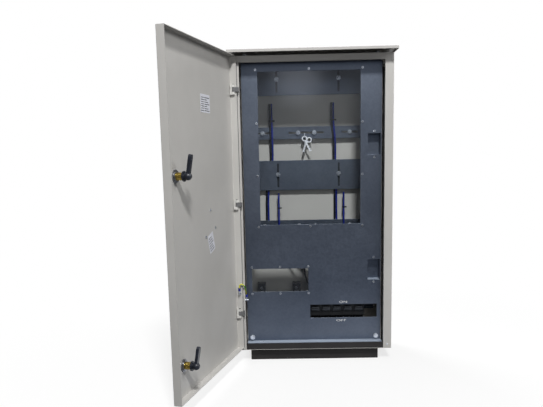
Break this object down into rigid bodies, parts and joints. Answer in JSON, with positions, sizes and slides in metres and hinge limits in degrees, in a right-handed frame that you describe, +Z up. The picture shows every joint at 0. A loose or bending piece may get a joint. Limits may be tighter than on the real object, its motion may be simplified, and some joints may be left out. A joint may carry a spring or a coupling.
{
  "type": "meter cabinet",
  "caption": "Free-standing sheet-steel electricity meter cabinet with a rain roof, plinth, hinged pan door, cam locks, a windowed inner panel and breakers.",
  "frame": {"origin": "middle of the plinth's underside, on the floor", "axes": "+X to the right seen from the front, +Y to the back, +Z up; the door opens towards -Y"},
  "size_m": [0.6362, 0.7121, 0.988],
  "materials": {
    "powder_coat": "satin",
    "plinth_paint": "satin",
    "zinc_sheet": "satin",
    "zinc_fastener": "satin",
    "clear_acrylic": "polished",
    "breaker_case": "matte",
    "toggle_black": "gloss",
    "moulded_black": "matte",
    "bar_brass": "satin",
    "lead_black": "satin",
    "lead_blue": "satin",
    "tie_nylon": "satin",
    "earth_yellow_green": "satin",
    "hinge_zinc": "satin",
    "lock_brass": "satin",
    "lock_nut_zinc": "satin",
    "lever_black": "satin"
  },
  "bodies": {
    "cabinet": {"cabinet_body": "powder_coat", "rain_roof": "powder_coat", "panel_post_left": "powder_coat", "panel_post_right": "powder_coat", "plinth": "plinth_paint", "sill_plate": "plinth_paint", "meter_panel": "zinc_sheet", "pocket_upper": "zinc_sheet", "pocket_lower": "zinc_sheet", "upper_hanger_plate": "zinc_sheet", "lower_hanger_plate": "zinc_sheet", "upper_meter_rail": "zinc_sheet", "lower_meter_rail": "zinc_sheet", "meter_channel_left": "zinc_sheet", "meter_channel_right": "zinc_sheet", "din_brackets": "zinc_sheet", "din_rail": "zinc_sheet", "roof_studs": "zinc_fastener", "panel_bolts": "zinc_fastener", "panel_screws": "zinc_fastener", "meter_screws": "zinc_fastener", "bar_screws": "zinc_fastener", "hinge_pins": "zinc_fastener", "body_earth_stud": "zinc_fastener", "cabinet_keys": "zinc_fastener", "main_window": "clear_acrylic", "lower_window": "clear_acrylic", "breaker_1": "breaker_case", "breaker_2": "breaker_case", "breaker_3": "breaker_case", "breaker_4": "breaker_case", "breaker_5": "breaker_case", "bar_support_left": "moulded_black", "bar_support_right": "moulded_black", "hinge_seal": "moulded_black", "neutral_bar": "bar_brass", "black_leads": "lead_black", "blue_leads": "lead_blue", "cable_ties": "tie_nylon", "earth_wire": "earth_yellow_green", "hinge_bracket_top": "hinge_zinc", "hinge_bracket_middle": "hinge_zinc", "hinge_bracket_bottom": "hinge_zinc"},
    "door": {"door_panel": "powder_coat", "hinge_leaf_top": "hinge_zinc", "hinge_leaf_middle": "hinge_zinc", "hinge_leaf_bottom": "hinge_zinc", "upper_lock_bush": "lock_brass", "lower_lock_bush": "lock_brass", "lock_nuts": "lock_nut_zinc", "door_earth_stud": "zinc_fastener", "door_rivets": "zinc_fastener"},
    "upper_lever": {"upper_lock_lever": "lever_black"},
    "lower_lever": {"lower_lock_lever": "lever_black"},
    "toggle_1": {"breaker_toggle_1": "toggle_black"},
    "toggle_2": {"breaker_toggle_2": "toggle_black"},
    "toggle_3": {"breaker_toggle_3": "toggle_black"},
    "toggle_4": {"breaker_toggle_4": "toggle_black"},
    "toggle_5": {"breaker_toggle_5": "toggle_black"}
  },
  "joints": [
    {"name": "door_hinge", "type": "hinge", "parent": "cabinet", "child": "door", "pos_m": [-0.2405, -0.122, 0.5], "axis": [0, 0, 1], "range_deg": [0, 105]},
    {"name": "upper_lock_turn", "type": "hinge", "parent": "door", "child": "upper_lever", "pos_m": [-0.32709, -0.53517, 0.622], "axis": [0.9659, -0.2588, 0], "range_deg": [0, 90]},
    {"name": "lower_lock_turn", "type": "hinge", "parent": "door", "child": "lower_lever", "pos_m": [-0.32709, -0.53517, 0.135], "axis": [0.9659, -0.2588, 0], "range_deg": [0, 90]},
    {"name": "breaker_switch_1", "type": "hinge", "parent": "cabinet", "child": "toggle_1", "pos_m": [0.0072, -0.041, 0.1586], "axis": [1, 0, 0], "range_deg": [0, 60]},
    {"name": "breaker_switch_2", "type": "hinge", "parent": "cabinet", "child": "toggle_2", "pos_m": [0.0432, -0.041, 0.1586], "axis": [1, 0, 0], "range_deg": [0, 60]},
    {"name": "breaker_switch_3", "type": "hinge", "parent": "cabinet", "child": "toggle_3", "pos_m": [0.0792, -0.041, 0.1586], "axis": [1, 0, 0], "range_deg": [0, 60]},
    {"name": "breaker_switch_4", "type": "hinge", "parent": "cabinet", "child": "toggle_4", "pos_m": [0.1152, -0.041, 0.1586], "axis": [1, 0, 0], "range_deg": [0, 60]},
    {"name": "breaker_switch_5", "type": "hinge", "parent": "cabinet", "child": "toggle_5", "pos_m": [0.1512, -0.041, 0.1586], "axis": [1, 0, 0], "range_deg": [0, 60]}
  ]
}
